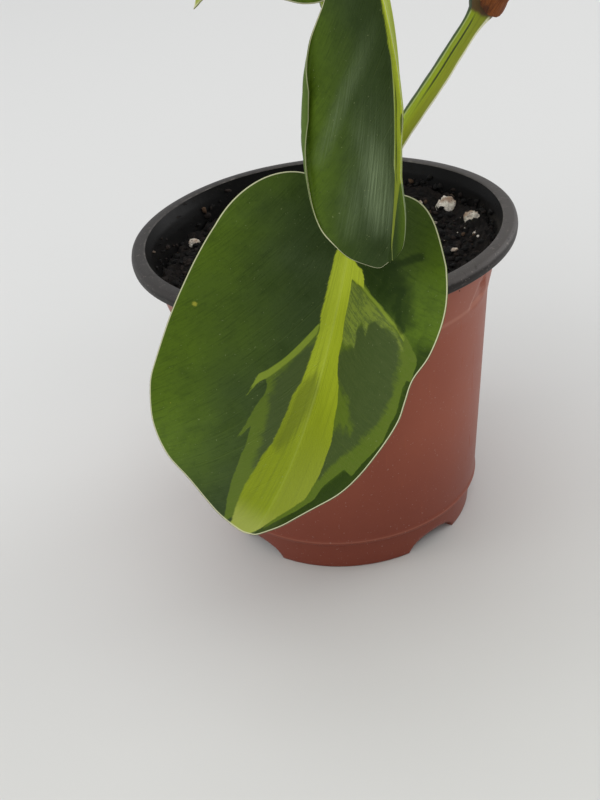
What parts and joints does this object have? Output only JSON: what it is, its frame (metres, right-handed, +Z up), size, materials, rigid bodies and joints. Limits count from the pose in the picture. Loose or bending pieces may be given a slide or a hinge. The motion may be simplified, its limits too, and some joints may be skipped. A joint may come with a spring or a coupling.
{
  "type": "potted brasil philodendron",
  "caption": "Heart-leaf philodendron with lime-variegated leaves on climbing vines, growing in soil in a two-tone plastic nursery pot that stands on moulded feet.",
  "frame": {"origin": "on the surface that the pot stands on, at the middle of the pot", "axes": "+Z is up; -Y is the plant's front, where its two large front leaves hang; +X is its right-hand side seen from the front"},
  "size_m": [0.2174, 0.2177, 0.2521],
  "materials": {
    "pot_plastic": "thin moulded plastic, red-brown outside and near-black inside and on the lip, satin",
    "potting_soil": "damp dark peat and bark crumbs",
    "perlite": "pale porous lumps",
    "green_stem": "smooth olive-lime stem with a darker groove",
    "leaf_blade": "satin dark green leaf with a lime streak along the midrib and a thin cream margin",
    "dried_husk": "dry papery orange-brown sheath"
  },
  "bodies": {
    "root": {"pot": "pot_plastic", "soil": "potting_soil", "perlite_1": "perlite", "perlite_2": "perlite", "perlite_3": "perlite", "perlite_4": "perlite", "perlite_5": "perlite", "vine_stem_1": "green_stem", "vine_stem_2": "green_stem", "petiole_front_low": "green_stem", "leaf_front_low": "leaf_blade", "petiole_front_high": "green_stem", "leaf_front_high": "leaf_blade", "petiole_front_left": "green_stem", "leaf_front_left": "leaf_blade", "petiole_right": "green_stem", "leaf_right": "leaf_blade", "petiole_left": "green_stem", "leaf_left": "leaf_blade", "petiole_back": "green_stem", "leaf_back": "leaf_blade", "petiole_back_right": "green_stem", "leaf_back_right": "leaf_blade", "new_leaf_rolled": "green_stem", "dried_sheath": "dried_husk"}
  },
  "joints": []
}
